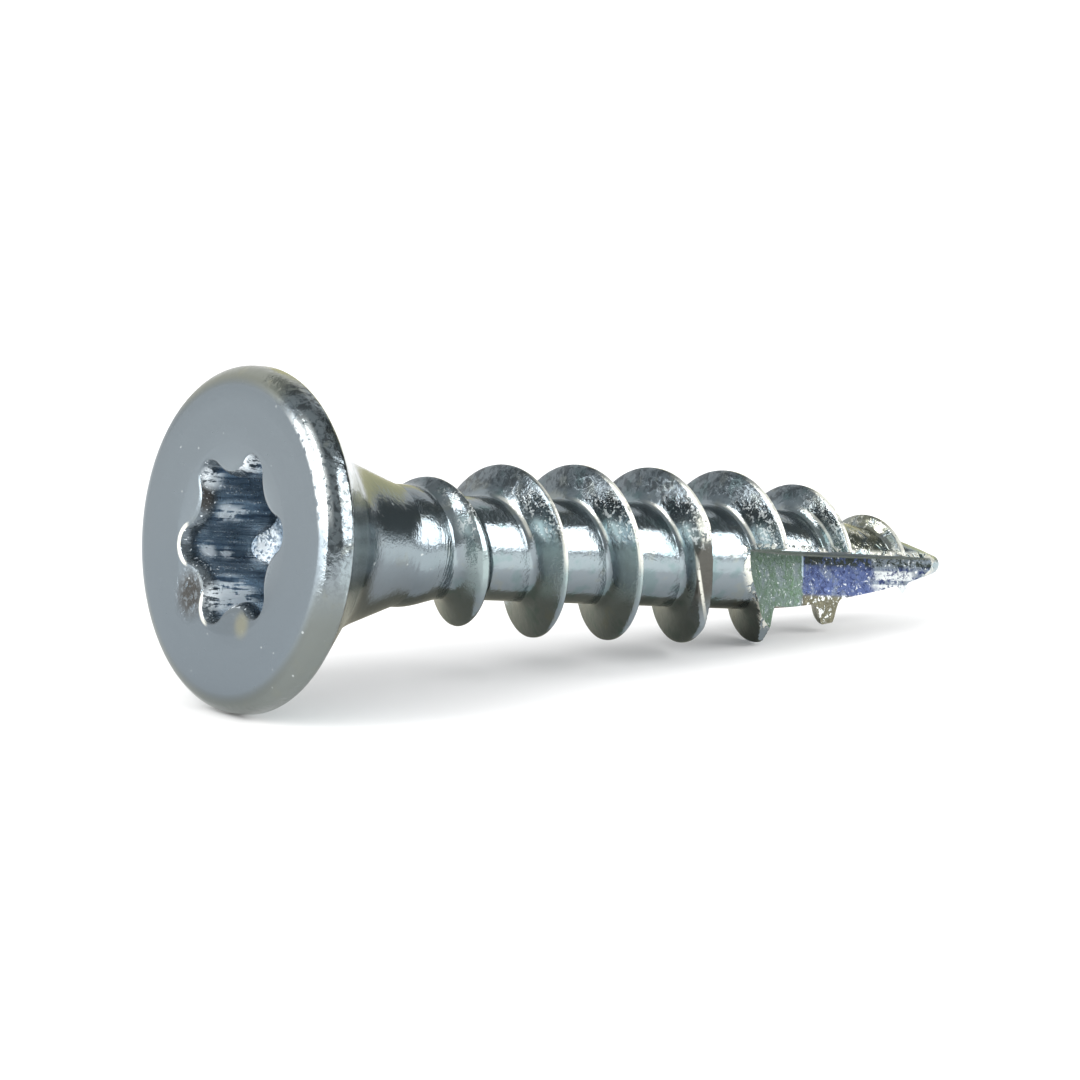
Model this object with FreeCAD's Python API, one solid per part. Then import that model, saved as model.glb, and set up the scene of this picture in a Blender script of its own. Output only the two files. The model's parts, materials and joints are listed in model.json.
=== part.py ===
import FreeCAD, Part
import math
import os

# A chipboard screw: one piece of steel wire, with an upset countersunk head, a punched six-lobe
# socket, a rolled coarse thread and a point that a wheel has cut open on one side.
# Places along the screw are measured from the flat face of the head, along the axis.
# Angles round the axis run from the near side (-Y) up towards the top (+Z).
# All sizes are in millimetres and degrees.

LENGTH = 20.0

# The head
HEAD_DIAMETER = 8.0
RIM_HEIGHT = 0.7
FACE_EDGE_RADIUS = 0.45
BACK_EDGE_RADIUS = 0.18
COUNTERSINK_ANGLE = 94.5

# The wire under the head
NECK_TOP_DIAMETER = 4.26
NECK_LENGTH = 1.94
NECK_BLEND_RADIUS = 2.9
SHANK_DIAMETER = 2.85
ROLLED_STEP_LENGTH = 1.3
CORE_DIAMETER = 2.4
POINT_LENGTH = 6.0
POINT_TAPERS = 4
TIP_DIAMETER = 0.32

# The thread
THREAD_DIAMETER = 4.05
THREAD_PITCH = 2.1
FLANK_ANGLE = 40.0
CREST_WIDTH = 0.12
ROOT_BLEND_WIDTH = 0.18
ROOT_BLEND_HEIGHT = 0.07
THREAD_START = 4.6
RUN_OUT_LENGTH = 4.0
RUN_OUT_POWER = 1.8
CREST_TAPER_POWER = 1.64
CREST_TIP_DIAMETER = 0.4
CREST_TOP_PLACE = 7.45

# The socket
DISH_DIAMETER = 4.5
DISH_DEPTH = 0.22
LOBE_COUNT = 6
LOBE_TIP_DIAMETER = 3.95
LOBE_WAIST_DIAMETER = 2.85
LOBE_RADIUS = 0.31
LOBE_TURN = 5.0
MOUTH_FLARE = 0.16
MOUTH_DEPTH = 0.4
SOCKET_DEPTH = 1.9
SOCKET_FLOOR_ANGLE = 130.0

# The cut in the point
CUT_WHEEL_RADIUS = 5.6
CUT_LOWEST_FROM_TIP = 2.6
CUT_PAST_AXIS = 0.16
CUT_LEDGE_OFFSET = 0.12
CUT_TURN = 10.0

# How the screw lies: rolled by this much, tip down on the rim of its head and a crest
LYING_ROLL = -8.3

# How the thread's solid is laid out
STATIONS_PER_HALF_TURN = 6
THREAD_LEAD_IN = 0.12
CREST_SINK = 0.06
FOOT_SINK = 0.12
FOOT_SINK_SHARE = 0.3

AXIS = FreeCAD.Vector(1, 0, 0)
ORIGIN = FreeCAD.Vector(0, 0, 0)


def radial(angle):
    """The unit vector square to the axis at an angle from the near side upwards."""
    turn = math.radians(angle)
    return FreeCAD.Vector(0, -math.cos(turn), math.sin(turn))


def place(along, radius, angle=90.0):
    """The point at a place along the axis and a radius, on the top side unless an angle is given."""
    return FreeCAD.Vector(along, 0, 0) + radial(angle) * radius


def line(start, end):
    return Part.LineSegment(start, end).toShape()


def arc(start, middle, end):
    return Part.Arc(start, middle, end).toShape()


def corner_arc(before, corner, after, radius):
    """Start, middle and end of the arc that rounds a corner of an outline."""
    back = (before - corner).normalize()
    on = (after - corner).normalize()
    half = back.getAngle(on) / 2
    bisector = (back + on).normalize()
    middle = corner + bisector * (radius / math.sin(half) - radius)
    tangent = radius / math.tan(half)
    return corner + back * tangent, middle, corner + on * tangent


def point_stations():
    """The (place, radius) corners of the core's point: tapers that follow one arc to the tip."""
    full_drop = (CORE_DIAMETER - TIP_DIAMETER) / 2
    arc_radius = (POINT_LENGTH ** 2 + full_drop ** 2) / (2 * full_drop)
    stations = []
    for index in range(POINT_TAPERS + 1):
        run = POINT_LENGTH * index / POINT_TAPERS
        drop = arc_radius - math.sqrt(arc_radius ** 2 - run ** 2)
        stations.append((LENGTH - POINT_LENGTH + run, CORE_DIAMETER / 2 - drop))
    return stations


def neck_corner_place():
    """Where the countersunk cone would meet the neck if nothing blended them."""
    fall = (HEAD_DIAMETER - NECK_TOP_DIAMETER) / 2
    return RIM_HEIGHT + fall / math.tan(math.radians(COUNTERSINK_ANGLE / 2))


def blank():
    """The head, neck, shank, core and pointed end, turned from one outline."""
    face_centre = place(0, 0)
    face_corner = place(0, HEAD_DIAMETER / 2)
    back_corner = place(RIM_HEIGHT, HEAD_DIAMETER / 2)
    neck_corner = place(neck_corner_place(), NECK_TOP_DIAMETER / 2)
    shank_start = place(neck_corner_place() + NECK_LENGTH, SHANK_DIAMETER / 2)
    face_arc = corner_arc(face_centre, face_corner, back_corner, FACE_EDGE_RADIUS)
    back_arc = corner_arc(face_corner, back_corner, neck_corner, BACK_EDGE_RADIUS)
    neck_arc = corner_arc(back_corner, neck_corner, shank_start, NECK_BLEND_RADIUS)
    shank_end = place(THREAD_START, SHANK_DIAMETER / 2)
    core_start = place(THREAD_START + ROLLED_STEP_LENGTH, CORE_DIAMETER / 2)
    wire_corners = [back_arc[2], *neck_arc, shank_start, shank_end, core_start]
    wire_corners += [place(along, radius) for along, radius in point_stations()]
    wire_corners += [place(LENGTH, 0), face_centre]
    outline = [line(face_centre, face_arc[0]), arc(*face_arc),
               line(face_arc[2], back_arc[0]), arc(*back_arc)]
    outline += [line(start, end) for start, end in zip(wire_corners, wire_corners[1:])]
    return Part.Face(Part.Wire(outline)).revolve(ORIGIN, AXIS, 360)


def core_radius_at(along):
    """The radius of the wire under the thread."""
    if along < THREAD_START + ROLLED_STEP_LENGTH:
        rolled = max(0.0, along - THREAD_START) / ROLLED_STEP_LENGTH
        return (SHANK_DIAMETER + (CORE_DIAMETER - SHANK_DIAMETER) * rolled) / 2
    stations = point_stations()
    for (start, wide), (end, narrow) in zip(stations, stations[1:]):
        if start < along <= end:
            return wide + (narrow - wide) * (along - start) / (end - start)
    return CORE_DIAMETER / 2


def crest_radius_at(along):
    """The radius of the crest, which grows out of the shank and draws in along the point."""
    if along < THREAD_START:
        return SHANK_DIAMETER / 2 - CREST_SINK * (THREAD_START - along) / THREAD_LEAD_IN
    missing = (THREAD_DIAMETER - SHANK_DIAMETER) / 2
    left = max(0.0, 1 - (along - THREAD_START) / RUN_OUT_LENGTH)
    drawn = max(0.0, along - LENGTH + POINT_LENGTH) / POINT_LENGTH
    taper = (THREAD_DIAMETER - CREST_TIP_DIAMETER) / 2 * drawn ** CREST_TAPER_POWER
    return THREAD_DIAMETER / 2 - missing * left ** RUN_OUT_POWER - taper


def crest_angle_at(along):
    """Where the crest of a right-hand thread stands round the axis."""
    return 90.0 - 360.0 * (along - CREST_TOP_PLACE) / THREAD_PITCH


def tooth_at(along):
    """The corners of the tooth's section as (offset along the axis, radius), head side first."""
    core = core_radius_at(along)
    crest = crest_radius_at(along)
    foot = max(core - FOOT_SINK, FOOT_SINK_SHARE * core)
    lean = math.tan(math.radians(FLANK_ANGLE / 2))
    half_crest = CREST_WIDTH / 2
    half_root = half_crest + max(0.0, crest - core) * lean
    half_foot = half_root + ROOT_BLEND_WIDTH
    blend = min(core + ROOT_BLEND_HEIGHT, crest)
    tip_side = [(half_crest, crest), (half_root, blend), (half_foot, foot)]
    return [(-offset, radius) for offset, radius in reversed(tip_side)] + tip_side


def thread():
    """The tooth as one closed solid, wound from inside the shank and trimmed flush with the tip."""
    first = THREAD_START - THREAD_LEAD_IN
    half_turns = math.ceil(2 * (LENGTH - first) / THREAD_PITCH)
    steps = half_turns * STATIONS_PER_HALF_TURN
    sections = []
    for step in range(steps + 1):
        along = first + (LENGTH - first) * step / steps
        angle = crest_angle_at(along)
        sections.append([place(along + offset, radius, angle) for offset, radius in tooth_at(along)])
    helices = [helix_through([section[corner] for section in sections])
               for corner in range(len(sections[0]))]
    faces = []
    for index, helix in enumerate(helices):
        faces += ruled_strip(helix, helices[index - 1], half_turns)
    for section in (sections[0], sections[-1]):
        faces.append(Part.Face(Part.makePolygon(section + section[:1])))
    shell = Part.makeShell(faces)
    shell.sewShape()
    tooth = Part.Solid(shell)
    if tooth.Volume < 0:
        tooth.reverse()
    return tooth.common(Part.makeCylinder(THREAD_DIAMETER, LENGTH, ORIGIN, AXIS))


def helix_through(points):
    """A smooth curve with one whole parameter for each of its points."""
    curve = Part.BSplineCurve()
    curve.interpolate(Points=points, Parameters=[float(index) for index in range(len(points))])
    return curve


def ruled_strip(one, other, half_turns):
    """The faces of straight lines between two helices, one face for each half turn."""
    faces = []
    for index in range(half_turns):
        surface = Part.BSplineSurface()
        surface.buildFromPolesMultsKnots([one.getPoles(), other.getPoles()],
                                         [2, 2], one.getMultiplicities(),
                                         [0.0, 1.0], one.getKnots(),
                                         False, False, 1, one.Degree)
        start = float(index * STATIONS_PER_HALF_TURN)
        surface.segment(0.0, 1.0, start, start + STATIONS_PER_HALF_TURN)
        faces.append(surface.toShape())
    return faces


def lobed_outline(along, flare):
    """The socket's outline at a depth: rounded lobes joined by tangent flutes, widened by a flare."""
    lobe_centre = LOBE_TIP_DIAMETER / 2 - LOBE_RADIUS
    lobe_radius = LOBE_RADIUS + flare
    waist = LOBE_WAIST_DIAMETER / 2 + flare
    half_step = 180.0 / LOBE_COUNT
    reach = lobe_centre * math.cos(math.radians(half_step))
    flute_radius = ((lobe_centre ** 2 + waist ** 2 - 2 * waist * reach - lobe_radius ** 2)
                    / (2 * (lobe_radius + reach - waist)))
    flute_centre = waist + flute_radius
    edges = []
    for index in range(LOBE_COUNT):
        turn = LOBE_TURN + 2 * half_step * index
        lobe = radial(turn) * lobe_centre
        next_lobe = radial(turn + 2 * half_step) * lobe_centre
        flute_before = radial(turn - half_step) * flute_centre
        flute_after = radial(turn + half_step) * flute_centre
        lobe_tip = radial(turn) * (lobe_centre + lobe_radius)
        lobe_start = lobe + (flute_before - lobe).normalize() * lobe_radius
        lobe_end = lobe + (flute_after - lobe).normalize() * lobe_radius
        flute_end = next_lobe + (flute_after - next_lobe).normalize() * lobe_radius
        edges.append(arc(lobe_start, lobe_tip, lobe_end))
        edges.append(arc(lobe_end, radial(turn + half_step) * waist, flute_end))
    outline = Part.Wire(edges)
    outline.translate(AXIS * along)
    return outline


def socket():
    """The six-lobe socket: a flared mouth and a straight bore down to a conical floor."""
    floor_radius = LOBE_TIP_DIAMETER / 2
    floor_depth = SOCKET_DEPTH + floor_radius / math.tan(math.radians(SOCKET_FLOOR_ANGLE / 2))
    bore = Part.Face(lobed_outline(0, 0)).extrude(AXIS * floor_depth)
    depth_limit = Part.Face(Part.makePolygon([
        place(0, 0), place(0, DISH_DIAMETER), place(SOCKET_DEPTH, DISH_DIAMETER),
        place(SOCKET_DEPTH, floor_radius), place(floor_depth, 0), place(0, 0)]))
    mouth = Part.makeLoft([lobed_outline(0, MOUTH_FLARE), lobed_outline(MOUTH_DEPTH, 0)], True, True)
    return bore.common(depth_limit.revolve(ORIGIN, AXIS, 360)).fuse(mouth)


def dish():
    """The shallow cone that the punch leaves round the socket's mouth."""
    return Part.makeCone(DISH_DIAMETER / 2, 0, DISH_DEPTH, ORIGIN, AXIS)


def point_cut():
    """What the cutting wheel takes out of the point: a floor that sweeps in and out, and a flat ledge."""
    centre_place = LENGTH - CUT_LOWEST_FROM_TIP
    centre_height = CUT_WHEEL_RADIUS - CUT_PAST_AXIS
    start = place(centre_place - CUT_WHEEL_RADIUS, centre_height, CUT_TURN)
    lowest = place(centre_place, -CUT_PAST_AXIS, CUT_TURN)
    end = place(centre_place + CUT_WHEEL_RADIUS, centre_height, CUT_TURN)
    outline = Part.Wire([arc(start, lowest, end), line(end, start)])
    ledge_side = radial(CUT_TURN - 90.0)
    outline.translate(ledge_side * -CUT_LEDGE_OFFSET)
    return Part.Face(outline).extrude(ledge_side * THREAD_DIAMETER)


def lying_tilt():
    """How far the tip points down when the rim of the head and a crest touch the ground."""
    down = -90.0 + LYING_ROLL
    half_back = math.radians(45.0 - COUNTERSINK_ANGLE / 4)
    rim_contact = RIM_HEIGHT - BACK_EDGE_RADIUS * math.tan(half_back)
    turns = int((LENGTH - CREST_TOP_PLACE) / THREAD_PITCH) + 1
    tilts = []
    for turn in range(turns):
        along = CREST_TOP_PLACE + THREAD_PITCH * (turn + (90.0 - down) / 360.0)
        if along < LENGTH:
            gap = HEAD_DIAMETER / 2 - crest_radius_at(along)
            tilts.append(math.degrees(math.atan2(gap, along - rim_contact)))
    return min(tilts)


def lay_down(screw):
    """Turn the screw as it lies, and put the middle of its box's underside at the origin."""
    screw.rotate(ORIGIN, AXIS, LYING_ROLL)
    screw.rotate(ORIGIN, FreeCAD.Vector(0, 1, 0), lying_tilt())
    box = screw.optimalBoundingBox(False, False)
    screw.translate(FreeCAD.Vector(-box.Center.x, -box.Center.y, -box.ZMin))
    return screw


screw = blank().fuse(thread())
screw = screw.cut(socket()).cut(dish()).cut(point_cut()).Solids[0]
screw = lay_down(screw)
os.makedirs("parts", exist_ok=True)
screw.exportStep("parts/chipboard_screw.step")
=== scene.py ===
import bmesh
import bpy
import json
import math
from mathutils import Euler, Matrix, Vector


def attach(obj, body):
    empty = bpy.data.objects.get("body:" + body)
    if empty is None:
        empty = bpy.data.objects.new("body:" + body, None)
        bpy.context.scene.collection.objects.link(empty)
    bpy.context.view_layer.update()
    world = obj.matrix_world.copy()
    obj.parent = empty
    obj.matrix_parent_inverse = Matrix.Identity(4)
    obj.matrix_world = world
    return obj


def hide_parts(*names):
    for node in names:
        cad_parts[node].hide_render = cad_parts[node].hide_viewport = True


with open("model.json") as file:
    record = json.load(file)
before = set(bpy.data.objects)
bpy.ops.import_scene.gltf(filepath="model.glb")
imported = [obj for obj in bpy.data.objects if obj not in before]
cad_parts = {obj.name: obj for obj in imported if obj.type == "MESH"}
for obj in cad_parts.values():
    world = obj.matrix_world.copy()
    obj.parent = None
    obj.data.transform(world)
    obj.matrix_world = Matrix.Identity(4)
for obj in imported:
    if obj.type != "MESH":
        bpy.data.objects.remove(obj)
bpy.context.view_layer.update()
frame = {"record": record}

# The blank. It starts as a length of hard steel wire, and a die upsets one end into the head: a flat
# face with a rounded edge, a short rim and a countersunk cone that blends into the neck and shank.
# Sizes are in millimetres along the screw's own axis, from the face of the head, until it is laid down.
FACE_RADIUS = 4.0
FACE_EDGE_ROUND = 0.45
RIM_HEIGHT = 0.7
BACK_EDGE_ROUND = 0.18
CONE_SLOPE = math.tan(math.radians(94.5 / 2))
NECK_CORNER_RADIUS = 2.13
NECK_ROUND = 2.9
NECK_LENGTH = 1.94
NECK_SLOPE = 0.363
SHANK_RADIUS = 1.425
DISH_RADIUS = 2.25
FACE_RINGS = (2.6, 3.1)
CONE_RINGS = (1.1, 1.5)
NECK_RINGS = (3.5, 3.9)
SIDES = 192
JOIN_PLACE = 4.42
JOIN_GAP = 0.04
SKIN_STEP = 0.1


def rounded(before, corner, after, radius, steps):
    """Points of the arc that rounds one corner of an outline."""
    back = (Vector(before) - Vector(corner)).normalized()
    on = (Vector(after) - Vector(corner)).normalized()
    half = back.angle(on) / 2
    middle = Vector(corner) + (back + on).normalized() * radius / math.sin(half)
    start = Vector(corner) + back * radius / math.tan(half) - middle
    end = Vector(corner) + on * radius / math.tan(half) - middle
    sweep = start.angle(end)
    points = []
    for step in range(steps + 1):
        share = step / steps
        spoke = (start * math.sin((1 - share) * sweep) + end * math.sin(share * sweep)) / math.sin(sweep)
        points.append(tuple(middle + spoke))
    return points


def select_where(test):
    """In edit mode, select only the vertices whose place passes a test."""
    bpy.ops.mesh.select_all(action="DESELECT")
    mesh = bmesh.from_edit_mesh(bpy.context.object.data)
    for vertex in mesh.verts:
        vertex.select = test(vertex.co)
    mesh.select_flush(True)
    bmesh.update_edit_mesh(bpy.context.object.data)


def reshape(piece, move):
    """Give every vertex the place that a function makes of its old one."""
    for vertex in piece.data.vertices:
        vertex.co = move(vertex.co)


neck_corner_place = RIM_HEIGHT + (FACE_RADIUS - NECK_CORNER_RADIUS) / CONE_SLOPE
dish_edge = (0.0, DISH_RADIUS)
face_corner = (0.0, FACE_RADIUS)
back_corner = (RIM_HEIGHT, FACE_RADIUS)
neck_corner = (neck_corner_place, NECK_CORNER_RADIUS)
shank_start = (neck_corner_place + NECK_LENGTH, SHANK_RADIUS)
outline = [dish_edge]
outline += [(0.0, ring) for ring in FACE_RINGS]
outline += rounded(dish_edge, face_corner, back_corner, FACE_EDGE_ROUND, steps=10)
outline += rounded(face_corner, back_corner, neck_corner, BACK_EDGE_ROUND, steps=7)
outline += [(ring, FACE_RADIUS - (ring - RIM_HEIGHT) * CONE_SLOPE) for ring in CONE_RINGS]
outline += rounded(back_corner, neck_corner, shank_start, NECK_ROUND, steps=12)
outline += [(ring, SHANK_RADIUS + (shank_start[0] - ring) * NECK_SLOPE) for ring in NECK_RINGS]
outline += [shank_start, (JOIN_PLACE - JOIN_GAP, SHANK_RADIUS)]

# The skin over the socket is drawn first, as a plain stem that stands out of the face, one step for
# each ring, so that the punch of the next section can press it in.
SKIN_RINGS = 34
stem = [(-SKIN_STEP * ring, DISH_RADIUS) for ring in range(SKIN_RINGS, 0, -1)]

bpy.ops.object.select_all(action="DESELECT")
bpy.ops.mesh.primitive_circle_add(vertices=SIDES, radius=DISH_RADIUS, fill_type="TRIFAN",
                                  location=(stem[0][0], 0, 0), rotation=(0, math.pi / 2, 0))
screw = bpy.context.object
screw.name = "plated_screw"
bpy.ops.object.transform_apply(location=True, rotation=True)
bpy.ops.object.mode_set(mode="EDIT")
select_where(lambda place: place.yz.length > DISH_RADIUS / 2)
place, radius = stem[0]
for next_place, next_radius in stem[1:] + outline:
    bpy.ops.mesh.extrude_region_move(TRANSFORM_OT_translate={"value": (next_place - place, 0, 0)})
    bpy.ops.transform.resize(value=(1, next_radius / radius, next_radius / radius),
                             center_override=(next_place, 0, 0))
    place, radius = next_place, next_radius
bpy.ops.object.mode_set(mode="OBJECT")

# The socket. A six-lobe punch is driven into the head while the steel is cold: it leaves a shallow
# dish round the mouth, a flared lip, straight flutes and a conical floor.
DISH_DEPTH = 0.22
DISH_EDGE_EASE = 0.02
LOBE_COUNT = 6
LOBE_REACH = 1.975
LOBE_WAIST = 1.425
LOBE_ROUND = 0.31
LOBE_TURN = math.radians(5.0)
MOUTH_FLARE = 0.17
MOUTH_FLARE_POWER = 1.6
MOUTH_DEPTH = 0.42
MOUTH_DEPTH_POWER = 1.3
SOCKET_DEPTH = 1.9
FLOOR_RISE = 1 / math.tan(math.radians(65.0))
DISH_RINGS = 7
LIP_RINGS = 9
WALL_RINGS = 10
FLOOR_RINGS = SKIN_RINGS - DISH_RINGS - LIP_RINGS - WALL_RINGS


def lobed_radius(turn, flare):
    """How far the socket's wall stands from the axis at an angle from the near side upwards."""
    half_step = math.pi / LOBE_COUNT
    off_lobe = abs((turn - LOBE_TURN + half_step) % (2 * half_step) - half_step)
    lobe_centre = LOBE_REACH - LOBE_ROUND
    lobe_round = LOBE_ROUND + flare
    waist = LOBE_WAIST + flare
    reach = lobe_centre * math.cos(half_step)
    flute_round = ((lobe_centre ** 2 + waist ** 2 - 2 * waist * reach - lobe_round ** 2)
                   / (2 * (lobe_round + reach - waist)))
    flute_centre = waist + flute_round
    to_flute = Vector((flute_centre * math.cos(half_step) - lobe_centre,
                       flute_centre * math.sin(half_step))).normalized()
    touch = Vector((lobe_centre, 0)) + to_flute * lobe_round
    if off_lobe < math.atan2(touch.y, touch.x):
        side = lobe_centre * math.sin(off_lobe)
        return lobe_centre * math.cos(off_lobe) + math.sqrt(lobe_round ** 2 - side ** 2)
    off_flute = half_step - off_lobe
    side = flute_centre * math.sin(off_flute)
    return flute_centre * math.cos(off_flute) - math.sqrt(flute_round ** 2 - side ** 2)


def dish_depth(radius):
    """The dish's depth, with its edge eased into the face."""
    fall = max(0.0, 1 - radius / DISH_RADIUS)
    return DISH_DEPTH * fall * fall / (fall + DISH_EDGE_EASE)


def punch(place):
    """Press the stem's rings in as the dish, the lip, the wall and the floor of the socket."""
    if place.x > -SKIN_STEP / 2:
        return place
    ring = round(-place.x / SKIN_STEP)
    turn = math.atan2(place.z, -place.y)
    mouth = lobed_radius(turn, MOUTH_FLARE)
    lip_start = dish_depth(mouth)
    if ring <= DISH_RINGS:
        share = ring / DISH_RINGS
        radius = DISH_RADIUS + (mouth - DISH_RADIUS) * share
        depth = dish_depth(radius)
    elif ring <= DISH_RINGS + LIP_RINGS:
        share = (ring - DISH_RINGS) / LIP_RINGS
        radius = lobed_radius(turn, MOUTH_FLARE * (1 - share) ** MOUTH_FLARE_POWER)
        depth = lip_start + (MOUTH_DEPTH - lip_start) * share ** MOUTH_DEPTH_POWER
    elif ring <= DISH_RINGS + LIP_RINGS + WALL_RINGS:
        share = (ring - DISH_RINGS - LIP_RINGS) / WALL_RINGS
        radius = lobed_radius(turn, 0.0)
        floor = SOCKET_DEPTH + (LOBE_REACH - radius) * FLOOR_RISE
        depth = MOUTH_DEPTH + (floor - MOUTH_DEPTH) * share
    else:
        share = 1 - (ring - DISH_RINGS - LIP_RINGS - WALL_RINGS) / FLOOR_RINGS
        radius = lobed_radius(turn, 0.0) * share
        depth = SOCKET_DEPTH + (LOBE_REACH - radius) * FLOOR_RISE
    if place.yz.length < SKIN_STEP:
        return Vector((SOCKET_DEPTH + LOBE_REACH * FLOOR_RISE, 0, 0))
    return Vector((depth, -radius * math.cos(turn), radius * math.sin(turn)))


reshape(screw, punch)

# The thread. Two flat dies roll a coarse single-start right-hand thread into the wire, which fills
# the crests from the steel squeezed out of the core, and it draws in along the point to the tip.
LENGTH = 20.0
THREAD_START = 4.6
STEP_LENGTH = 1.3
CORE_RADIUS = 1.2
POINT_LENGTH = 6.0
TIP_RADIUS = 0.16
NOSE_LENGTH = 0.16
NOSE_TRIM = 0.003
CREST_RADIUS = 2.025
CREST_TIP_RADIUS = 0.2
CREST_TAPER_POWER = 1.64
CREST_TOP_PLACE = 7.45
PITCH = 2.1
HALF_CREST = 0.055
FLANK_LEAN = math.tan(math.radians(20.0))
ROOT_EASE = 0.24
ROOT_EASE_SHARE = 0.8
CREST_EASE = 0.1
START_SPREAD = 1.2
RUN_OUT_LENGTH = 4.0
RUN_OUT_POWER = 1.8
STEPS_PER_TURN = 144
# Where the crest is swollen: place along, reach, turn up from the near side, and extra half width.
SWELLS = [(5.9, 1.0, math.radians(-5.0), 0.06), (16.75, 0.9, math.radians(-78.0), 0.14)]
# Where handling has flattened the crest: place along, turn, and the flat's distance from the axis.
CREST_FLATS = [(12.3, math.radians(-17.0), 1.57), (14.5, math.radians(-38.0), 1.44)]
FLAT_REACH_COSINE = 0.5
HALF_SECTION = [0.03, 0.055, 0.08, 0.105, 0.135, 0.165, 0.2, 0.235, 0.27, 0.305, 0.34, 0.38, 0.42, 0.465,
                0.515, 0.58, 0.66, 0.77, 0.91, 1.05]


def wire_radius(along):
    """The radius of the wire under the thread: shank, rolled step, core and ogive point."""
    if along < THREAD_START + STEP_LENGTH:
        share = max(0.0, along - THREAD_START) / STEP_LENGTH
        return SHANK_RADIUS + (CORE_RADIUS - SHANK_RADIUS) * share * share * (3 - 2 * share)
    run = max(0.0, along - LENGTH + POINT_LENGTH)
    drop = CORE_RADIUS - TIP_RADIUS
    arc_radius = (POINT_LENGTH ** 2 + drop ** 2) / (2 * drop)
    radius = CORE_RADIUS - arc_radius + math.sqrt(max(0.0, arc_radius ** 2 - run ** 2))
    return max(TIP_RADIUS / 2, radius)


def run_out_left(along):
    """How much of the thread's run-out is still to come, from 1 at its start to 0 at full height."""
    return min(1.0, max(0.0, 1 - (along - THREAD_START) / RUN_OUT_LENGTH))


def crest_height(along):
    """How far the crest stands over the wire, from its start on the shank to its end at the tip."""
    drawn = min(1.0, max(0.0, along - LENGTH + POINT_LENGTH) / POINT_LENGTH)
    crest = CREST_RADIUS - (CREST_RADIUS - SHANK_RADIUS) * run_out_left(along) ** RUN_OUT_POWER
    crest -= (CREST_RADIUS - CREST_TIP_RADIUS) * drawn ** CREST_TAPER_POWER
    return max(0.0, crest - wire_radius(along)) if along > THREAD_START else 0.0


def soft_floor(value, ease):
    """The value where it is over zero and zero below, with the corner eased."""
    return max(value, 0.0) + max(ease - abs(value), 0.0) ** 2 / (4 * ease)


def roll(place):
    """Press the plain helical skin into the thread's section."""
    turn = math.atan2(place.z, -place.y)
    pitches = (place.x - CREST_TOP_PLACE) / PITCH - (math.pi / 2 - turn) / (2 * math.pi)
    off_crest = (pitches - round(pitches)) * PITCH
    height = crest_height(place.x - off_crest)
    half_crest = HALF_CREST
    for swell_place, reach, swell_turn, swell in SWELLS:
        share = max(0.0, 1 - ((place.x - swell_place) / reach) ** 2)
        half_crest += swell * share * max(0.0, math.cos(turn - swell_turn)) ** 2
    radius = wire_radius(place.x)
    if height > 0:
        lean = FLANK_LEAN * (1 + START_SPREAD * run_out_left(place.x - off_crest))
        rise = height - soft_floor((abs(off_crest) - half_crest) / lean, CREST_EASE)
        radius += soft_floor(rise, min(ROOT_EASE, ROOT_EASE_SHARE * height))
    for flat_place, flat_turn, flat_height in CREST_FLATS:
        facing = math.cos(turn - flat_turn)
        if abs(place.x - flat_place) < PITCH / 2 and facing > FLAT_REACH_COSINE:
            radius = min(radius, flat_height / facing)
    into_nose = max(0.0, place.x - LENGTH + NOSE_LENGTH) / NOSE_LENGTH
    radius *= math.sqrt(1 - into_nose ** 2)
    return Vector((place.x, -radius * math.cos(turn), radius * math.sin(turn)))


bpy.ops.object.select_all(action="DESELECT")
bpy.ops.mesh.primitive_plane_add(size=1.0)
thread = bpy.context.object
bpy.ops.object.mode_set(mode="EDIT")
bpy.ops.mesh.merge(type="CENTER")
first_crest = CREST_TOP_PLACE - 2 * PITCH
section = [-offset for offset in reversed(HALF_SECTION)] + [0.0] + HALF_SECTION
bpy.ops.transform.translate(value=(first_crest + section[0], 0, CORE_RADIUS))
for offset, next_offset in zip(section, section[1:]):
    bpy.ops.mesh.extrude_vertices_move(TRANSFORM_OT_translate={"value": (next_offset - offset, 0, 0)})
bpy.ops.object.mode_set(mode="OBJECT")
winding = thread.modifiers.new("winding", "SCREW")
winding.axis = "X"
winding.screw_offset = PITCH
winding.iterations = math.ceil((LENGTH - first_crest) / PITCH) + 1
winding.steps = STEPS_PER_TURN
winding.render_steps = STEPS_PER_TURN
bpy.ops.object.modifier_apply(modifier="winding")
bpy.ops.object.mode_set(mode="EDIT")
bpy.ops.mesh.select_all(action="SELECT")
bpy.ops.mesh.remove_doubles(threshold=0.0005)
bpy.ops.mesh.bisect(plane_co=(JOIN_PLACE, 0, 0), plane_no=(1, 0, 0), clear_inner=True)
bpy.ops.mesh.select_all(action="SELECT")
bpy.ops.mesh.bisect(plane_co=(LENGTH - NOSE_TRIM, 0, 0), plane_no=(1, 0, 0), clear_outer=True,
                    use_fill=True)
bpy.ops.object.mode_set(mode="OBJECT")
reshape(thread, roll)

# The skin of the thread and the skin of the head meet round the shank, as one closed piece.
bpy.ops.object.select_all(action="DESELECT")
thread.select_set(True)
screw.select_set(True)
bpy.context.view_layer.objects.active = screw
bpy.ops.object.join()
bpy.ops.object.mode_set(mode="EDIT")
bpy.ops.mesh.select_all(action="DESELECT")
bpy.ops.mesh.select_non_manifold(extend=False, use_wire=False, use_multi_face=False,
                                 use_non_contiguous=False, use_verts=False)
bpy.ops.mesh.bridge_edge_loops()
bpy.ops.mesh.select_all(action="SELECT")
bpy.ops.mesh.normals_make_consistent(inside=False)
bpy.ops.object.mode_set(mode="OBJECT")

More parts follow.
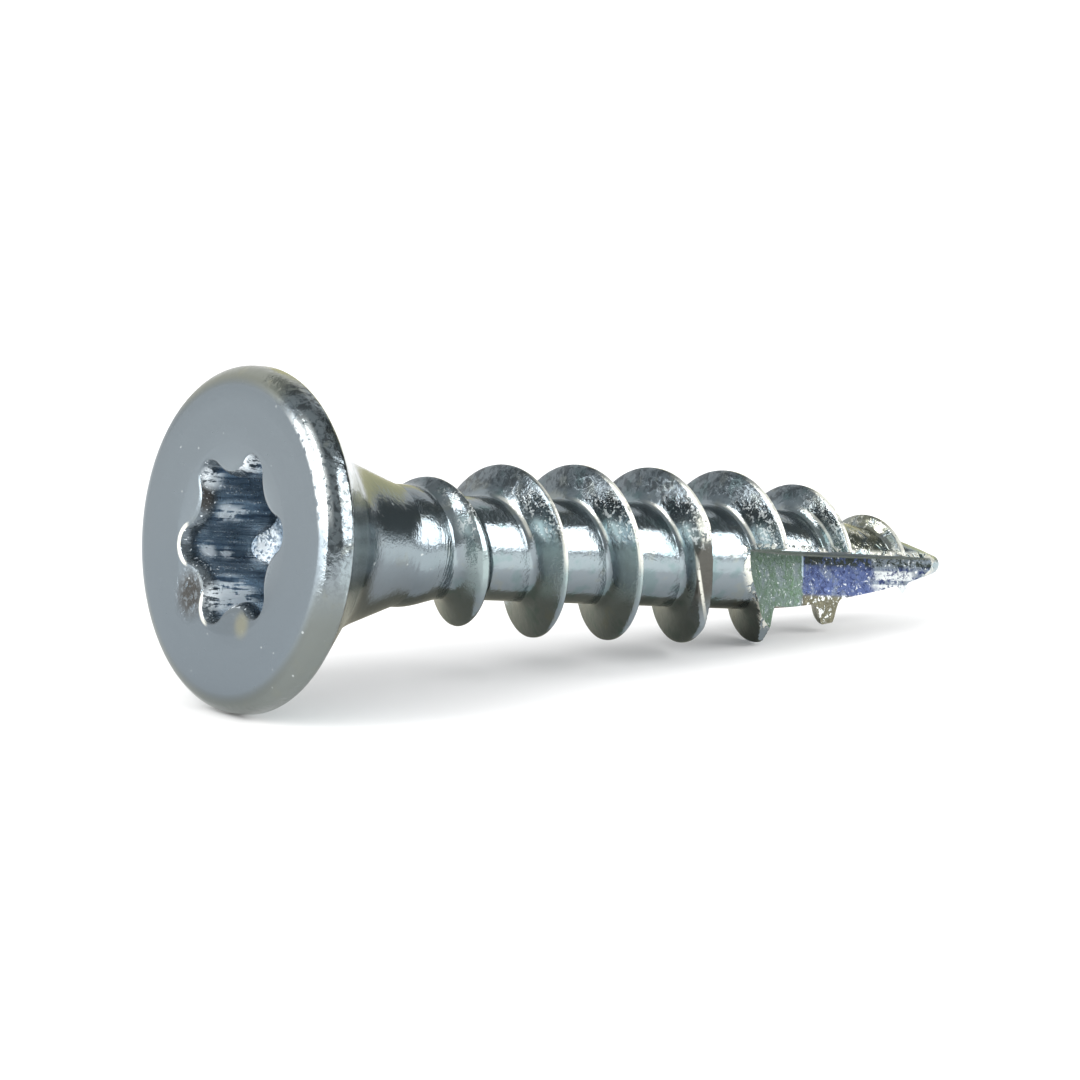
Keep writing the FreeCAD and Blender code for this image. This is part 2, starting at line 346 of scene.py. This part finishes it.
# The cut point. A wheel slots one side of the point before plating, so that the screw starts in
# board without a pilot hole: a floor that sweeps in to just past the axis, and a flat ledge over it.
CUT_WHEEL_RADIUS = 5.6
CUT_LOWEST_PLACE = LENGTH - 2.6
CUT_PAST_AXIS = 0.16
CUT_LEDGE_OFFSET = 0.13
CUT_TURN = math.radians(3.5)
CUT_WIDTH = 5.0

bpy.ops.object.select_all(action="DESELECT")
ledge_to_middle = CUT_WIDTH / 2 - CUT_LEDGE_OFFSET
bpy.ops.mesh.primitive_cylinder_add(vertices=512, radius=CUT_WHEEL_RADIUS, depth=CUT_WIDTH,
                                    location=(CUT_LOWEST_PLACE, CUT_PAST_AXIS - CUT_WHEEL_RADIUS,
                                              -ledge_to_middle))
wheel = bpy.context.object
bpy.ops.object.transform_apply(location=True)
wheel.data.transform(Matrix.Rotation(-CUT_TURN, 4, "X"))

bpy.ops.object.select_all(action="DESELECT")
bpy.context.view_layer.objects.active = screw
screw.select_set(True)
for slot_name in ("plating", "socket_plating", "cut_plating"):
    screw.data.materials.append(bpy.data.materials.new(slot_name))
wheel.data.materials.append(bpy.data.materials["cut_plating"])
cut = screw.modifiers.new("cut", "BOOLEAN")
cut.operation = "DIFFERENCE"
cut.object = wheel
cut.solver = "EXACT"
cut.material_mode = "TRANSFER"
bpy.ops.object.modifier_apply(modifier="cut")
bpy.data.objects.remove(wheel)

# The socket keeps its own finish: every face that is deeper than the dish and looks towards the axis.
SOCKET_SLOT = 1
UNDER_DISH = 0.03
for face in screw.data.polygons:
    off_axis = Vector((0, face.center.y, face.center.z))
    in_head = off_axis.length < DISH_RADIUS and face.center.x < SOCKET_DEPTH + LOBE_REACH * FLOOR_RISE
    under_dish = face.center.x > dish_depth(off_axis.length) + UNDER_DISH
    if in_head and under_dish and face.normal.dot(off_axis) < 0:
        face.material_index = SOCKET_SLOT

# The finished screw lies on the rim of its head and on a crest, tip down, as the frame's socket
# mount says: its axis gives the tilt, and its place the middle of the head's face.
MM = 0.001
LYING_ROLL = math.radians(-8.3)
mounts = {mount["name"]: mount for mount in frame["record"]["mounts"]}
out_of_head = Vector(mounts["drive_socket"]["axis"])
face_centre = Vector(mounts["drive_socket"]["pos_m"]) + out_of_head * DISH_DEPTH * MM
lying = Euler((LYING_ROLL, math.asin(out_of_head.z), 0.0))
screw.data.transform(Matrix.LocRotScale(face_centre, lying, Vector((MM, MM, MM))))
bpy.ops.object.shade_smooth_by_angle(angle=math.radians(32.0))
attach(screw, "root")
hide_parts("chipboard_screw")


# The finish. The steel is barrel plated with a few micrometres of bright zinc and dipped in a blue
# passivate, which leaves a grey-blue metal, cloudy and finely pitted, with faint tints in places.
class Signal:
    """A shader socket that takes part in Python's arithmetic."""

    def __init__(self, tree, socket):
        self.tree = tree
        self.socket = socket

    def node(self, kind, settings=None, inputs=None, output=0):
        """Add a node, with its settings first and then the values or signals of its sockets."""
        made = self.tree.nodes.new(kind)
        for name, value in (settings or {}).items():
            setattr(made, name, value)
        for name, value in (inputs or {}).items():
            if isinstance(value, Signal):
                self.tree.links.new(value.socket, made.inputs[name])
            else:
                made.inputs[name].default_value = value
        return Signal(self.tree, made.outputs[output])

    def math(self, operation, first, second=0.0):
        """Add a Math node."""
        return self.node("ShaderNodeMath", {"operation": operation}, {0: first, 1: second})

    def vector_math(self, operation, inputs, output=0):
        """Add a Vector Math node."""
        return self.node("ShaderNodeVectorMath", {"operation": operation}, inputs, output)

    def __add__(self, other):
        return self.math("ADD", self, other)

    def __radd__(self, other):
        return self.math("ADD", other, self)

    def __sub__(self, other):
        return self.math("SUBTRACT", self, other)

    def __rsub__(self, other):
        return self.math("SUBTRACT", other, self)

    def __mul__(self, other):
        return self.math("MULTIPLY", self, other)

    def __rmul__(self, other):
        return self.math("MULTIPLY", other, self)

    def distance(self):
        """The signal without its sign: how far it is from zero."""
        return self.math("ABSOLUTE", self)

    def between(self, low, high):
        """A soft step from 0 where the signal is at the low value to 1 where it is at the high one."""
        return self.node("ShaderNodeMapRange", {"interpolation_type": "SMOOTHSTEP"},
                         {"Value": self, "From Min": low, "From Max": high})

    def noise(self, scale, detail=3.0, roughness=0.5, distortion=0.0):
        """Cloudy noise on this place signal, from about 0 to 1."""
        return self.node("ShaderNodeTexNoise", {}, {"Vector": self, "Scale": scale, "Detail": detail,
                                                    "Roughness": roughness, "Distortion": distortion})

    def stretched(self, along, across):
        """This place signal squeezed along the screw and across it, for marks that run one way."""
        return self.vector_math("MULTIPLY", {0: self, 1: (along, across, across)})

    def tinted(self, mask, colour):
        """This colour, mixed towards another one where the mask is strong."""
        return self.node("ShaderNodeMix", {"data_type": "RGBA"},
                         {0: mask, 6: self, 7: (*colour, 1.0)}, output=2)

    def part(self, axis):
        """One of the three coordinates of a place signal."""
        return self.node("ShaderNodeSeparateXYZ", {}, {0: self}, output=axis)

    def length(self):
        """How far a place signal is from the origin."""
        return self.vector_math("LENGTH", {0: self}, output=1)

    def height_over(self, normal, offset):
        """How far a place signal is over a plane."""
        return self.vector_math("DOT_PRODUCT", {0: self, 1: normal}, output=1) - offset

    def gap_to(self, centre):
        """How far a place signal is from a place."""
        return self.vector_math("DISTANCE", {0: self, 1: centre}, output=1)

    def near(self, centre, reach):
        """A soft spot of a given reach round a place, in millimetres."""
        full_reach = reach * 0.3
        return 1 - self.gap_to(centre).between(full_reach, reach)


LIP_LINE_CORE = 0.03
LIP_LINE_EDGE = 0.08


def lip_highlight_line(place, lobe_turn):
    """A painted highlight: a thin line along the far edge of one of the socket's lobes, at its turn from
    the near side.
    """
    lobe_centre = (LOBE_REACH - LOBE_ROUND) * Vector((0, -math.cos(lobe_turn), math.sin(lobe_turn)))
    off_edge = place.stretched(0.0, 1.0).gap_to(lobe_centre) - LOBE_ROUND - MOUTH_FLARE
    line = 1 - off_edge.distance().between(LIP_LINE_CORE, LIP_LINE_EDGE)
    return line * place.part(1).between(lobe_centre.y + 0.1, lobe_centre.y + 0.3)


def start_material(name):
    """Turn on a material's nodes and return its node tree, its shader node and the place on the screw in
    millimetres.
    """
    material = bpy.data.materials[name]
    material.use_nodes = True
    tree = material.node_tree
    shader = tree.nodes["Principled BSDF"]
    place = Signal(tree, tree.nodes.new("ShaderNodeTexCoord").outputs["Object"])
    place = place.node("ShaderNodeMapping", {"vector_type": "TEXTURE"},
                       {"Vector": place, "Location": face_centre, "Rotation": lying,
                        "Scale": (MM, MM, MM)})
    return tree, shader, place


def plain(place, shade):
    """A colour signal that starts as one plain shade."""
    return place.node("ShaderNodeMix", {"data_type": "RGBA"}, {0: 0.0, 6: (*shade, 1.0)}, output=2)


def finish_material(tree, shader, colour, metal, roughness, relief):
    """Wire the colour, the bare metal's share, the roughness and the relief in millimetres."""
    tree.links.new(colour.socket, shader.inputs["Base Color"])
    tree.links.new(metal.socket, shader.inputs["Metallic"])
    tree.links.new(roughness.socket, shader.inputs["Roughness"])
    normal = relief.node("ShaderNodeBump", {}, {"Strength": 1.0, "Distance": MM, "Height": relief})
    tree.links.new(normal.socket, shader.inputs["Normal"])


ZINC = (0.245, 0.285, 0.308)
ZINC_FACE = (0.176, 0.206, 0.226)
RIM_SHADE = (0.165, 0.178, 0.16)
ZINC_DARK = (0.155, 0.185, 0.208)
ZINC_PALE = (0.62, 0.66, 0.66)
CHARCOAL = (0.045, 0.052, 0.058)
STAIN = (0.022, 0.02, 0.016)
OLIVE = (0.33, 0.32, 0.21)
TEAL = (0.15, 0.235, 0.235)
CREAM = (0.78, 0.78, 0.70)
FILM = (0.28, 0.345, 0.34)
PAINTED_SHEEN = (0.50, 0.63, 0.65)
FILED = (0.05, 0.045, 0.036)
STAIN_PLACE = (0.05, 1.6, -1.28)
STAIN_REACH = 0.75
OLIVE_SPOT_PLACE = (0.1, -0.55, -1.95)
ROLL_MARKS_PLACE = (4.9, -1.4, -0.3)
CREST_BURR_PLACE = (12.0, -1.87, 0.66)
FILED_PLACE = (12.15, -1.6, -0.4)
FOLD_NORMAL = (-0.922, 0.113, -0.37)
FOLD_OFFSET = -11.16
TIP_TOP_PLACE = (17.2, -0.5, 1.0)
ROOT_LINE_RADIUS = 1.27
FAR_LOBE_TURN = LOBE_TURN - math.pi
LOW_LOBE_TURN = FAR_LOBE_TURN + 2 * math.pi / LOBE_COUNT
LEDGE_UP = Matrix.Rotation(-CUT_TURN, 3, "X") @ Vector((0, 0, 1))
CUT_INWARD = Matrix.Rotation(-CUT_TURN, 3, "X") @ Vector((0, 1, 0))


def wheel_gap(place):
    """How far a place signal is outside the wheel that cut the point."""
    hub = Vector((CUT_LOWEST_PLACE, 0, 0)) + CUT_INWARD * (CUT_PAST_AXIS - CUT_WHEEL_RADIUS)
    from_hub = place.vector_math("SUBTRACT", {0: place, 1: hub})
    level = from_hub.height_over(LEDGE_UP, 0.0)
    lift = level.vector_math("SCALE", {0: LEDGE_UP, 3: level})
    flat = from_hub.vector_math("SUBTRACT", {0: from_hub, 1: lift})
    return flat.length() - CUT_WHEEL_RADIUS


tree, shader, place = start_material("plating")
along = place.part(0)
across = place.part(1)
up = place.part(2)
radius = place.stretched(0.0, 1.0).length()
rolled = along.between(0.005, 0.11)
threaded = along.between(4.4, 5.6)
flank = radius.between(1.3, 1.55) * threaded
clouds = place.noise(0.9, detail=4.0, roughness=0.6)
hues = place.noise(1.7, detail=3.0, roughness=0.55)
mottle = place.noise(6.0, detail=4.0, roughness=0.62, distortion=0.5)
grain = place.noise(17.0, detail=2.0)
patches = place.noise(3.6, detail=3.0, roughness=0.6, distortion=0.6)

# Where the marks of making and handling lie, and where highlights, reflections and shade are painted,
# as masks over the plating.
specks = place.noise(8.0, detail=0.0).between(0.825, 0.86) * (1 - threaded)
rim = radius.between(3.5, 3.8) * (1 - along.between(0.75, 0.9))
# Painted highlight: a pale, less metallic band where the face's edge starts to round, on its near upper
# side.
rim_painted_highlight = radius.between(3.52, 3.6) * (1 - along.between(0.12, 0.24)) * across.between(-1.6, -2.2)
rim_painted_highlight = rim_painted_highlight * up.between(0.1, 0.8) * (1 - up.between(2.5, 3.1)) * mottle.between(0.37, 0.47)
# Painted shade: mottled charcoal patches on the upper flanks and on the rim's near side stand in for
# dark reflections.
upper_flanks = up.between(0.8, 1.3) * flank
rim_painted_shade = rim * mottle.between(0.44, 0.6) * up.between(-1.8, 0.5) * across.between(-1.5, -2.0)
painted_dark_patches = (mottle.between(0.46, 0.58) * 0.55 + 0.4) * upper_flanks + rim_painted_shade
glints = (grain * 0.6 + mottle).between(0.84, 0.9) * flank * across.between(-0.3, -0.7)
glints = glints * (1 - (up - 0.8).distance().between(0.3, 0.75))
# Painted highlight: a pale cyan patch low on the near-side flanks, for lamp light reflected in the
# thread's root.
painted_sheen = flank * across.between(-0.8, -1.1) * (1 - (up - 0.5).distance().between(0.12, 0.36))
painted_sheen = painted_sheen * (1 - radius.between(1.5, 1.8)) * (1 - along.between(15.0, 15.8))
# Painted highlight: a thin pale line along the root of each thread on the near side.
root_highlight = (1 - (radius - ROOT_LINE_RADIUS).distance().between(0.015, 0.05)) * threaded
root_highlight = root_highlight * across.between(-0.1, -0.5) * (1 - (up - 0.75).distance().between(0.3, 0.6))
film = flank * (across + 0.2).between(0.0, -1.0) * (1 - (up + 0.45).distance().between(0.4, 0.8))
drawn = along.math("MAXIMUM", (along - (LENGTH - POINT_LENGTH)) * (1 / POINT_LENGTH), 0.0)
drawn = along.math("POWER", drawn, CREST_TAPER_POWER) * (CREST_RADIUS - CREST_TIP_RADIUS)
# Painted highlight: pale broken lines along the crests on the near side.
crest = (radius + drawn).between(1.95, 2.0) * threaded * mottle.between(0.3, 0.42)
crest = crest * across.between(-0.3, -0.8) * up.between(-0.6, 0.0) * (1 - up.between(1.5, 1.95))
burr = 1 - place.height_over(LEDGE_UP, CUT_LEDGE_OFFSET).between(0.05, 0.16)
burr = burr * (1 - wheel_gap(place).between(0.04, 0.2)) * patches.between(0.47, 0.54)
crest_burr = place.near(CREST_BURR_PLACE, 0.6) * radius.between(1.72, 1.84)
crest_burr = crest_burr * mottle.between(0.36, 0.46)
filed = place.near(FILED_PLACE, 1.5) * radius.between(1.5, 1.56)
fold = place.height_over(FOLD_NORMAL, FOLD_OFFSET).distance()
fold = (1 - fold.between(0.02, 0.06)) * filed * mottle.between(0.35, 0.45)
tip_top = place.near(TIP_TOP_PLACE, 1.7) * patches.between(0.34, 0.52)
cone = along.between(0.7, 0.85) * (1 - along.between(2.12, 2.28))
stain = place.near(STAIN_PLACE, STAIN_REACH) * (patches + mottle * 0.5).between(0.6, 0.7)
neck = along.between(2.15, 2.4) * (1 - along.between(4.7, 5.6))
# Painted highlights along the far edges of two of the socket's lobes.
lip_highlights = lip_highlight_line(place, FAR_LOBE_TURN) + lip_highlight_line(place, LOW_LOBE_TURN) * 0.8
lip_highlights = lip_highlights * (1 - along.between(0.2, 0.3)) * (1 - threaded)

# The tints, each laid over the ones before it.
colour = plain(place, ZINC)
colour = colour.tinted(1 - rolled, ZINC_FACE)
# Painted shade: the face is painted darker towards its bottom.
colour = colour.tinted((1 - rolled) * up.between(2.0, -3.5) * 0.8, ZINC_DARK)
colour = colour.tinted(hues.between(0.52, 0.66) * threaded * 0.5, TEAL)
colour = colour.tinted(hues.between(0.44, 0.34) * rolled * 0.2, OLIVE)
# Painted shade: the rim is painted darker and greener on its lower side.
colour = colour.tinted(rim * up.between(-0.4, -2.0) * 0.8, RIM_SHADE)
# Painted reflection: the top of the rim's near side is painted olive, for a warm reflection.
colour = colour.tinted(rim * up.between(2.6, 3.4) * across.between(-2.2, -1.6) * 0.45, OLIVE)
colour = colour.tinted(film * 0.7, FILM)
colour = colour.tinted(cone * 0.6, FILM)
colour = colour.tinted(neck * 0.55, ZINC_DARK)
colour = colour.tinted(tip_top * 0.7, OLIVE)
# Painted highlight on the flanks, and the end of the tip painted paler in the same tint.
colour = colour.tinted(painted_sheen * 0.9 + along.between(18.5, 19.3) * 0.35, PAINTED_SHEEN)
# Painted shade: the charcoal patches over the upper flanks and the rim.
colour = colour.tinted(painted_dark_patches * 0.75, CHARCOAL)
colour = colour.tinted(filed * 0.95, FILED)
colour = colour.tinted(stain * (mottle.between(0.62, 0.5) * 0.55 + 0.4), STAIN)
colour = colour.tinted(lip_highlights, CREAM)
colour = colour.tinted(place.near(OLIVE_SPOT_PLACE, 0.42) * 0.6, OLIVE)
colour = colour.tinted(specks * 0.5, ZINC_PALE)
# Painted highlights: the flank glints and the band on the face's rounded edge.
colour = colour.tinted(glints * 0.85 + rim_painted_highlight * 0.9, ZINC_PALE)
colour = colour.tinted(tip_top * mottle.between(0.54, 0.6), CREAM)
# Painted highlights on the crests and along the roots, with the fold's pale line.
colour = colour.tinted(crest * 0.85 + root_highlight * 0.7 + fold * 0.8, CREAM)
colour = colour.tinted(burr * 0.9 + crest_burr, CREAM)

# How much bare metal shows, how rough it is, and its relief in millimetres.
metal = 1 - burr * 0.45 - crest_burr * 0.5 - specks * 0.2 - glints * 0.5 - film * 0.25 - cone * 0.12
metal = metal - crest * 0.6 - painted_sheen * 0.5 - root_highlight * 0.5 - filed * 0.4
metal = metal - stain * 0.7 - lip_highlights * 0.5 - rim_painted_highlight * 0.35
roughness = 0.24 - rolled * 0.13 + mottle * 0.05
rolls = place.stretched(5.0, 0.5).noise(1.6, detail=2.0) * place.near(ROLL_MARKS_PLACE, 1.2)
rough_share = 0.55 + flank * 0.45 + rim * 0.25 + tip_top * 0.4
relief = patches * (1.6 - flank - neck) * 0.01 + mottle * 0.012 + grain * (neck * 0.004 + 0.003)
relief = relief * rough_share + clouds * 0.008
relief = relief * (0.1 + rolled * 0.9) + rolls * 0.02 + burr * 0.02 - stain * 0.02
finish_material(tree, shader, colour, metal, roughness, relief)

# The socket's finish. The punch leaves strokes along the flutes and the passivate gathers in them as
# a deep blue, with a dark stain where the bath dried in the lobes. Pale painted highlights and glints
# lie on the walls, and the floor is painted darker as shade.
SOCKET_ZINC = (0.27, 0.36, 0.44)
SOCKET_PALE = (0.84, 0.91, 0.95)
SOCKET_NAVY = (0.06, 0.105, 0.17)
SOCKET_FLOOR_SHADE = (0.10, 0.13, 0.16)
HIGH_STAIN_PLACE = (0.1, 1.36, 0.92)
HIGH_STAIN_REACH = 0.5
HIGHLIGHT_SPOTS = [((0.81, 1.01, -1.24), 0.6), ((1.14, 1.0, -1.37), 0.5), ((0.4, 1.0, -1.34), 0.5),
            ((0.04, -0.05, -1.75), 0.5), ((0.33, 1.27, 1.42), 0.4), ((0.28, -0.45, 1.73), 0.55),
            ((0.71, 1.29, 0.61), 0.36), ((1.05, 1.3, 0.58), 0.3), ((0.69, 1.94, -0.27), 0.3),
            ((1.19, 1.88, -0.35), 0.26), ((2.0, 1.7, -0.36), 0.42), ((2.05, 1.55, 0.02), 0.4)]

tree, shader, place = start_material("socket_plating")
mottle = place.noise(5.0, detail=4.0, roughness=0.65, distortion=0.5)
strokes = place.stretched(0.5, 6.0).noise(1.8, detail=3.0, roughness=0.6)
grain = place.noise(16.0, detail=1.0)
glints = grain.between(0.6, 0.68) * strokes.between(0.5, 0.62)
stain = place.near(STAIN_PLACE, STAIN_REACH) + place.near(HIGH_STAIN_PLACE, HIGH_STAIN_REACH)
stain = stain * (mottle + strokes * 0.4).between(0.58, 0.68)
# Painted highlights: pale, nearly diffuse spots where light catches the socket's walls.
painted_highlights = place.near(*HIGHLIGHT_SPOTS[0])
for centre, reach in HIGHLIGHT_SPOTS[1:]:
    painted_highlights = painted_highlights + place.near(centre, reach)
painted_highlights = painted_highlights * (strokes + mottle * 0.6).between(0.7, 0.82)
mouth = 1 - place.part(0).between(0.26, 0.48)
on_floor = place.part(0).between(1.9, 2.0)
colour = plain(place, SOCKET_ZINC)
colour = colour.tinted(strokes.between(0.47, 0.35) * 0.8, SOCKET_NAVY)
colour = colour.tinted(strokes.between(0.56, 0.68) * 0.5, SOCKET_PALE)
# Painted shade: the floor at the bottom of the socket is painted darker.
colour = colour.tinted(on_floor * 0.8, SOCKET_FLOOR_SHADE)
colour = colour.tinted(mouth, ZINC_DARK)
colour = colour.tinted(stain * 0.9, STAIN)
colour = colour.tinted(glints, SOCKET_PALE)
colour = colour.tinted(painted_highlights, SOCKET_PALE)
metal = 0.78 - painted_highlights * 0.6 - glints * 0.4 + mouth * 0.2 - stain * 0.5
roughness = 0.2 + mottle * 0.12
relief = mottle * 0.012 + strokes * 0.03
finish_material(tree, shader, colour, metal, roughness, relief)

# The cut's finish. The wheel leaves a rough face that holds more of the passivate than rolled steel
# does: a green film at the wide end, a deep blue one towards the tip, and a grey one on the ledge.
CUT_GREEN = (0.14, 0.20, 0.165)
CUT_MOSS = (0.09, 0.16, 0.09)
CUT_BLUE = (0.075, 0.105, 0.23)
CUT_LINE = (0.42, 0.52, 0.60)
CUT_NAVY = (0.02, 0.03, 0.09)
CUT_STEEL = (0.22, 0.26, 0.29)
CUT_WHITE = (0.80, 0.84, 0.84)
CUT_DARK = (0.03, 0.04, 0.035)
CUT_LEDGE = (0.19, 0.215, 0.195)
CUT_OLIVE = (0.13, 0.125, 0.085)
WHEEL_MARK_PLACE = 16.1

tree, shader, place = start_material("cut_plating")
along = place.part(0)
over_ledge = place.height_over(LEDGE_UP, CUT_LEDGE_OFFSET)
under_ledge = over_ledge * -1.0
patches = place.noise(2.6, detail=4.0, roughness=0.6)
crystals = place.noise(9.0, detail=4.0, roughness=0.7, distortion=0.5)
sparks = place.noise(14.0, detail=2.0, roughness=0.6)
sparkle = sparks.between(0.6, 0.68) * crystals.between(0.45, 0.56)
on_ledge = 1 - under_ledge.between(0.02, 0.05)
green = 1 - (along + patches * 0.3).between(16.22, 16.3)
shaded = (1 - green) * (1 - under_ledge.between(0.18, 0.3))
pale = (along + patches * 0.9).between(18.5, 18.9)
white = pale * (1 - (along + patches * 0.4).between(19.3, 19.5)) * crystals.between(0.4, 0.5)
bars = under_ledge.between(0.3, 0.36) * (1 - under_ledge.between(0.52, 0.56))
bars = bars + under_ledge.between(0.62, 0.66) * (1 - under_ledge.between(0.8, 0.86))
low = under_ledge.between(0.88, 1.0) * (1 - green)
wheel_mark = 1 - (along - WHEEL_MARK_PLACE).distance().between(0.015, 0.04)
wheel_mark = wheel_mark * (1 - under_ledge.between(0.5, 0.6)) * crystals.between(0.38, 0.48)
colour = plain(place, CUT_BLUE)
colour = colour.tinted(crystals.between(0.5, 0.4) * 0.8, CUT_NAVY)
colour = colour.tinted(patches.between(0.52, 0.6) * 0.4, CUT_STEEL)
colour = colour.tinted(green, CUT_GREEN)
colour = colour.tinted(green * crystals.between(0.5, 0.42) * 0.8, CUT_MOSS)
colour = colour.tinted(green * patches.between(0.52, 0.62) * 0.6, CUT_STEEL)
colour = colour.tinted(shaded * crystals.between(0.6, 0.5), CUT_DARK)
colour = colour.tinted(pale * crystals.between(0.42, 0.52) * 0.8, CUT_STEEL)
colour = colour.tinted(white * bars * 0.85, CUT_WHITE)
colour = colour.tinted(sparkle * 0.9, CUT_WHITE)
colour = colour.tinted(low, CUT_OLIVE)
colour = colour.tinted(low * crystals.between(0.55, 0.62), CUT_WHITE)
colour = colour.tinted(wheel_mark, CUT_LINE)
colour = colour.tinted(on_ledge, CUT_LEDGE)
metal = 0.75 - white * bars * 0.6 - on_ledge * 0.45 - sparkle * 0.4
roughness = 0.28 + crystals * 0.2
relief = crystals * 0.03 + sparks * 0.005 + patches * 0.04
finish_material(tree, shader, colour, metal, roughness, relief)

# The studio. The screw lies on a pale floor that carries its shadow, in a white surround. Three soft
# lamps light it, and cards and mats that only its reflections see give the plating light and dark.
FLOOR_DROP = 0.00001
MAT_LIFT = 0.04

bpy.ops.object.select_all(action="DESELECT")
bpy.ops.mesh.primitive_plane_add(size=1.6, location=(0, 0, -FLOOR_DROP))
floor = bpy.context.object
floor.name = "pale_floor"
floor_paint = bpy.data.materials.new("pale_floor")
floor_paint.use_nodes = True
floor_shader = floor_paint.node_tree.nodes["Principled BSDF"]
floor_shader.inputs["Base Color"].default_value = (0.9, 0.9, 0.9, 1.0)
floor_shader.inputs["Roughness"].default_value = 0.9
floor_shader.inputs["Specular IOR Level"].default_value = 0.0
floor.data.materials.append(floor_paint)

surround = bpy.data.worlds.new("surround")
bpy.context.scene.world = surround
surround.use_nodes = True
surround.node_tree.nodes["Background"].inputs["Color"].default_value = (1.0, 1.0, 1.0, 1.0)
surround.node_tree.nodes["Background"].inputs["Strength"].default_value = 1.0


def bearing(azimuth, elevation):
    """The direction at an azimuth, from +Y towards +X, and an elevation over the floor."""
    azimuth, elevation = math.radians(azimuth), math.radians(elevation)
    return Vector((math.sin(azimuth) * math.cos(elevation), math.cos(azimuth) * math.cos(elevation),
                   math.sin(elevation)))


def softbox(name, azimuth, elevation, distance, size, radiance):
    """A soft lamp that faces the screw, with its power worked out from how bright it looks."""
    bpy.ops.object.light_add(type="AREA", location=bearing(azimuth, elevation) * distance)
    lamp = bpy.context.object
    lamp.name = name
    lamp.rotation_euler = bearing(azimuth, elevation).to_track_quat("Z", "Y").to_euler()
    lamp.data.shape = "RECTANGLE"
    lamp.data.size, lamp.data.size_y = size
    lamp.data.energy = radiance * math.pi * size[0] * size[1]
    lamp.visible_camera = False


softbox("window", 135.0, 23.0, 0.5, (0.365, 0.36), 4.4)
softbox("left_strip", -79.0, 12.5, 0.5, (0.53, 0.25), 4.6)
softbox("high_left", -90.0, 39.0, 0.5, (0.22, 0.32), 5.4)


def card_paint(piece, shade, glow=0.0):
    """Paint a card of the studio, which only the plating's reflections see."""
    paint = bpy.data.materials.new(piece.name)
    paint.use_nodes = True
    shader = paint.node_tree.nodes["Principled BSDF"]
    shader.inputs["Base Color"].default_value = (*shade, 1.0)
    shader.inputs["Roughness"].default_value = 1.0
    shader.inputs["Specular IOR Level"].default_value = 0.0
    shader.inputs["Emission Color"].default_value = (*shade, 1.0)
    shader.inputs["Emission Strength"].default_value = glow
    piece.data.materials.append(paint)
    piece.visible_camera = False
    piece.visible_diffuse = False
    piece.visible_shadow = False


def card(name, azimuth, elevation, distance, size, shade):
    """A card that faces the screw, for the plating to reflect."""
    bpy.ops.mesh.primitive_plane_add(size=1.0, location=bearing(azimuth, elevation) * distance)
    made = bpy.context.object
    made.name = name
    made.scale = (size[0], size[1], 1.0)
    made.rotation_euler = bearing(azimuth, elevation).to_track_quat("Z", "Y").to_euler()
    bpy.ops.object.transform_apply(location=True, rotation=True, scale=True)
    card_paint(made, shade)


def mat(name, middle, size, shade, glow=0.0):
    """A sheet that lies on the floor near the screw, for the undersides to reflect."""
    bpy.ops.mesh.primitive_plane_add(size=1.0, location=Vector((*middle, MAT_LIFT)) * MM)
    made = bpy.context.object
    made.name = name
    made.scale = (size[0] * MM, size[1] * MM, 1.0)
    bpy.ops.object.transform_apply(location=True, rotation=True, scale=True)
    card_paint(made, shade, glow)


card("ceiling", 0.0, 90.0, 0.4, (0.72, 0.72), (0.28, 0.29, 0.29))
card("right_wall", 94.0, 25.0, 0.38, (0.25, 0.35), (0.09, 0.10, 0.10))
card("camera_side", 203.0, 22.0, 0.55, (1.08, 0.56), (0.30, 0.31, 0.31))
card("left_flag", -57.0, 33.0, 0.45, (0.275, 0.18), (0.30, 0.32, 0.33))
card("back_wall", 52.0, 10.0, 0.45, (0.30, 0.17), (0.52, 0.50, 0.31))
card("horizon", 130.0, 3.0, 0.06, (0.12, 0.0066), (0.40, 0.42, 0.42))
mat("shadow_mat", (1.5, 3.6), (17.0, 8.4), (0.36, 0.345, 0.28))
mat("bright_mat", (20.0, -19.8), (48.0, 30.4), (0.9, 0.92, 0.90), 0.6)

# The camera. It stands well back with a long lens, a little above the screw and on the side of its
# head, and the picture keeps its colours as they are rendered.
CAMERA_AIM = Vector((-1.127, 0.0, 3.075)) * MM
CAMERA_BEARING = (180.0 + 33.9, 11.46)
CAMERA_DISTANCE = 404.9 * MM
CAMERA_LENS = 583.0

bpy.ops.object.camera_add(location=CAMERA_AIM + bearing(*CAMERA_BEARING) * CAMERA_DISTANCE)
camera = bpy.context.object
camera.rotation_euler = bearing(*CAMERA_BEARING).to_track_quat("Z", "Y").to_euler()
camera.data.lens = CAMERA_LENS
camera.data.sensor_width = 36.0
camera.data.clip_start = 0.05
bpy.context.scene.camera = camera
bpy.context.scene.view_settings.view_transform = "Standard"
